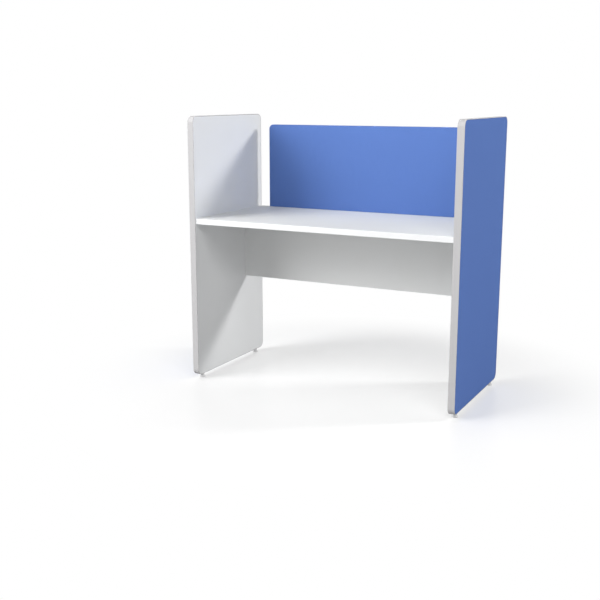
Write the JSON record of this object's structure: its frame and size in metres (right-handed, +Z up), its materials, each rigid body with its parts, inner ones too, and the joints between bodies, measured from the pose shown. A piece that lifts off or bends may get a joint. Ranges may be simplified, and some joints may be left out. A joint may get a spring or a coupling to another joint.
{
  "type": "cubicle workstation",
  "caption": "Office desk for one person between tall side panels, with a cloth screen at the rear edge, a modesty panel below and levelling feet.",
  "frame": {"origin": "on the floor, under the middle of the workstation", "axes": "+X to the user's right, +Y away from the user to the screen, +Z up"},
  "size_m": [1.26, 0.6, 1.2],
  "materials": {
    "core_board": "bare particle board",
    "edge_strip": "satin pale grey edge strip",
    "blue_cloth": "plain woven blue cloth",
    "white_laminate": "satin white laminate sheet",
    "white_board": "board faced in satin white laminate",
    "white_band": "satin white edge band",
    "bracket_steel": "zinc plated sheet steel",
    "zinc": "zinc plated",
    "beech": "bare beech",
    "foot_plastic": "moulded pale grey plastic",
    "foot_steel": "zinc plated thread"
  },
  "bodies": {
    "workstation": {"left_panel_core": "core_board", "right_panel_core": "core_board", "screen_core": "core_board", "left_edge_strip": "edge_strip", "right_edge_strip": "edge_strip", "left_outer_cloth": "blue_cloth", "right_outer_cloth": "blue_cloth", "screen_front_cloth": "blue_cloth", "screen_rear_cloth": "blue_cloth", "left_inner_laminate": "white_laminate", "right_inner_laminate": "white_laminate", "desk_top": "white_board", "modesty_panel": "white_board", "desk_front_band": "white_band", "desk_rear_band": "white_band", "modesty_bottom_band": "white_band", "left_screen_bracket": "bracket_steel", "right_screen_bracket": "bracket_steel", "bracket_screws": "zinc", "cam_bolts": "zinc", "foot_inserts": "zinc", "dowels": "beech"},
    "left_front_foot": {"left_front_foot_pad": "foot_plastic", "left_front_foot_stem": "foot_steel"},
    "left_rear_foot": {"left_rear_foot_pad": "foot_plastic", "left_rear_foot_stem": "foot_steel"},
    "right_front_foot": {"right_front_foot_pad": "foot_plastic", "right_front_foot_stem": "foot_steel"},
    "right_rear_foot": {"right_rear_foot_pad": "foot_plastic", "right_rear_foot_stem": "foot_steel"},
    "left_front_desk_cam": {"desk_cam_left_front": "zinc"},
    "left_rear_desk_cam": {"desk_cam_left_rear": "zinc"},
    "left_top_modesty_cam": {"modesty_cam_left_top": "zinc"},
    "left_low_modesty_cam": {"modesty_cam_left_low": "zinc"},
    "right_front_desk_cam": {"desk_cam_right_front": "zinc"},
    "right_rear_desk_cam": {"desk_cam_right_rear": "zinc"},
    "right_top_modesty_cam": {"modesty_cam_right_top": "zinc"},
    "right_low_modesty_cam": {"modesty_cam_right_low": "zinc"}
  },
  "joints": [
    {"name": "left_front_foot_screw", "type": "slide", "parent": "workstation", "child": "left_front_foot", "axis": [0, 0, 1], "range_m": [-0.015, 0]},
    {"name": "left_rear_foot_screw", "type": "slide", "parent": "workstation", "child": "left_rear_foot", "axis": [0, 0, 1], "range_m": [-0.015, 0]},
    {"name": "right_front_foot_screw", "type": "slide", "parent": "workstation", "child": "right_front_foot", "axis": [0, 0, 1], "range_m": [-0.015, 0]},
    {"name": "right_rear_foot_screw", "type": "slide", "parent": "workstation", "child": "right_rear_foot", "axis": [0, 0, 1], "range_m": [-0.015, 0]},
    {"name": "desk_cam_left_front_turn", "type": "hinge", "parent": "workstation", "child": "left_front_desk_cam", "pos_m": [-0.5665, -0.225, 0.725], "axis": [0, 0, -1], "range_deg": [0, 180]},
    {"name": "desk_cam_left_rear_turn", "type": "hinge", "parent": "workstation", "child": "left_rear_desk_cam", "pos_m": [-0.5665, 0.225, 0.725], "axis": [0, 0, -1], "range_deg": [0, 180]},
    {"name": "modesty_cam_left_top_turn", "type": "hinge", "parent": "workstation", "child": "left_top_modesty_cam", "pos_m": [-0.5665, 0.148, 0.665], "axis": [0, 1, 0], "range_deg": [0, 180]},
    {"name": "modesty_cam_left_low_turn", "type": "hinge", "parent": "workstation", "child": "left_low_modesty_cam", "pos_m": [-0.5665, 0.148, 0.48], "axis": [0, 1, 0], "range_deg": [0, 180]},
    {"name": "desk_cam_right_front_turn", "type": "hinge", "parent": "workstation", "child": "right_front_desk_cam", "pos_m": [0.5665, -0.225, 0.725], "axis": [0, 0, -1], "range_deg": [0, 180]},
    {"name": "desk_cam_right_rear_turn", "type": "hinge", "parent": "workstation", "child": "right_rear_desk_cam", "pos_m": [0.5665, 0.225, 0.725], "axis": [0, 0, -1], "range_deg": [0, 180]},
    {"name": "modesty_cam_right_top_turn", "type": "hinge", "parent": "workstation", "child": "right_top_modesty_cam", "pos_m": [0.5665, 0.148, 0.665], "axis": [0, 1, 0], "range_deg": [0, 180]},
    {"name": "modesty_cam_right_low_turn", "type": "hinge", "parent": "workstation", "child": "right_low_modesty_cam", "pos_m": [0.5665, 0.148, 0.48], "axis": [0, 1, 0], "range_deg": [0, 180]}
  ]
}
